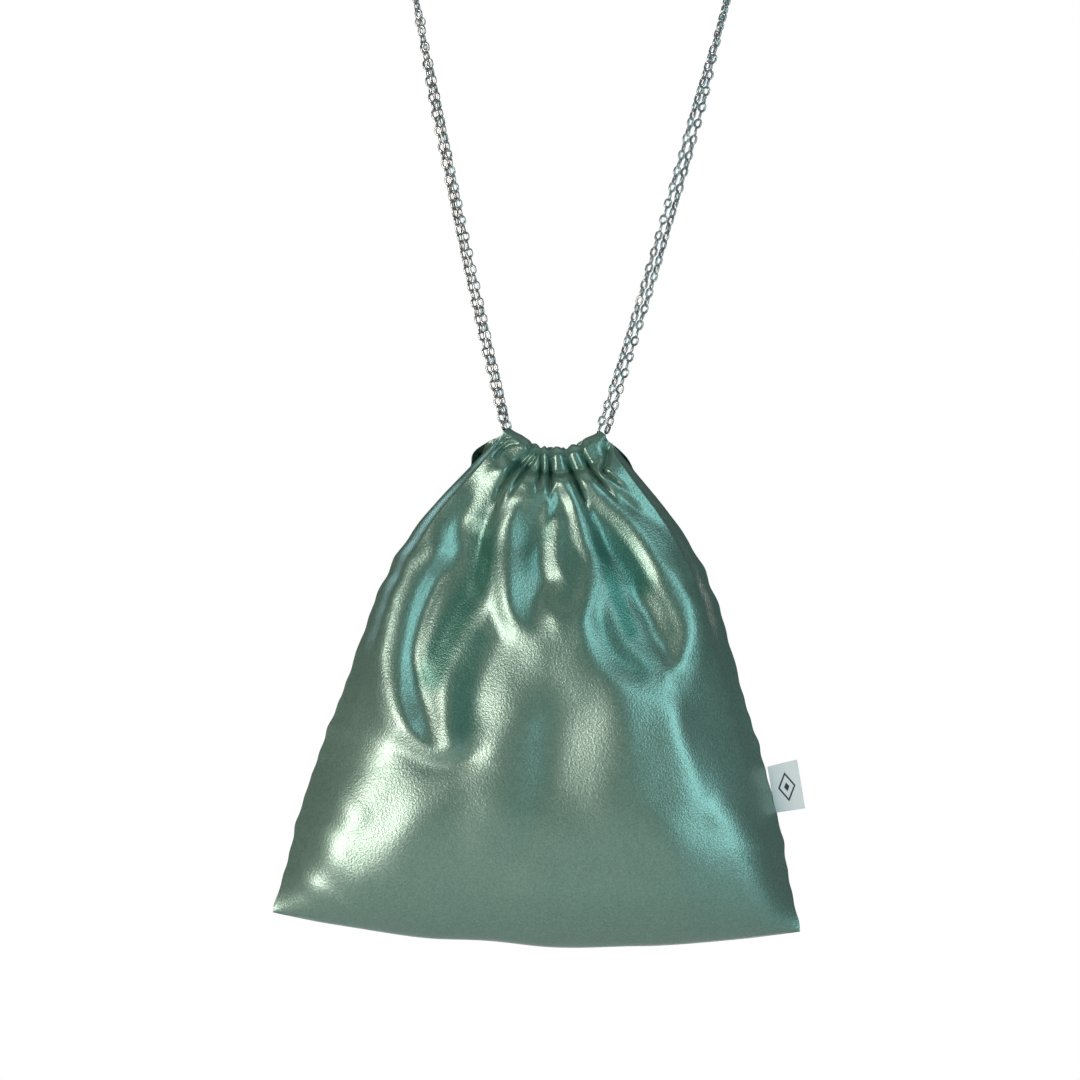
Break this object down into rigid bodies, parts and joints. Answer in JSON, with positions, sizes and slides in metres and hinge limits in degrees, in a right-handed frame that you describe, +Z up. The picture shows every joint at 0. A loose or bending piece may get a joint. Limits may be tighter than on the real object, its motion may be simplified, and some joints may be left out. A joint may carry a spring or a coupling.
{
  "type": "drawstring gift sack",
  "caption": "Satin drawstring gift sack with two gathered casings, hanging from a strap of cable chains, with a woven label in its side seam.",
  "frame": {"origin": "top of the round support that the strap hangs over, on the underside of the chains", "axes": "+Z up, +X towards the side with the label, -Y out of the front panel"},
  "size_m": [0.2481, 0.0742, 0.5418],
  "materials": {
    "satin": "mint green satin",
    "satin_inside": "matt back of the satin",
    "thread": "polyester thread",
    "chain_steel": "polished steel wire",
    "label_ribbon": "woven ribbon"
  },
  "bodies": {
    "strap_top": {"front_chain_top": "chain_steel", "back_chain_top_right": "chain_steel", "back_chain_ring": "chain_steel", "back_chain_top_left": "chain_steel"},
    "strap_legs": {"front_chain_left_leg": "chain_steel", "front_chain_ring": "chain_steel", "front_chain_left_end": "chain_steel", "front_chain_right_leg": "chain_steel", "back_chain_left_leg": "chain_steel", "back_chain_right_leg": "chain_steel"},
    "sack": {"front_panel": "satin", "back_panel": "satin", "left_seam_allowance": "satin_inside", "right_seam_allowance": "satin_inside", "bottom_seam_allowance": "satin_inside"},
    "front_lip": {"front_casing": "satin", "front_casing_stitching": "thread", "front_chain_casing_run": "chain_steel"},
    "back_lip": {"back_casing": "satin", "back_casing_stitching": "thread", "back_chain_casing_run": "chain_steel"},
    "label": {"side_label": "label_ribbon"}
  },
  "joints": [
    {"name": "strap_swing", "type": "hinge", "parent": "strap_top", "child": "strap_legs", "pos_m": [0, 0, -0.08968], "axis": [1, 0, 0], "range_deg": [-45, 45]},
    {"name": "sack_tilt", "type": "hinge", "parent": "strap_legs", "child": "sack", "pos_m": [0, 0, -0.296], "axis": [1, 0, 0], "range_deg": [-35, 35]},
    {"name": "front_mouth_open", "type": "hinge", "parent": "sack", "child": "front_lip", "pos_m": [0, -0.0039, -0.2975], "axis": [-1, 0, 0], "range_deg": [0, 20]},
    {"name": "back_mouth_open", "type": "hinge", "parent": "sack", "child": "back_lip", "pos_m": [0, 0.0039, -0.2975], "axis": [1, 0, 0], "range_deg": [0, 20]},
    {"name": "label_flap", "type": "hinge", "parent": "sack", "child": "label", "pos_m": [0.1068, 0, -0.4496], "axis": [0.2092, 0, -0.9779], "range_deg": [-75, 75], "stiffness_Nm_per_rad": 0.0002}
  ]
}
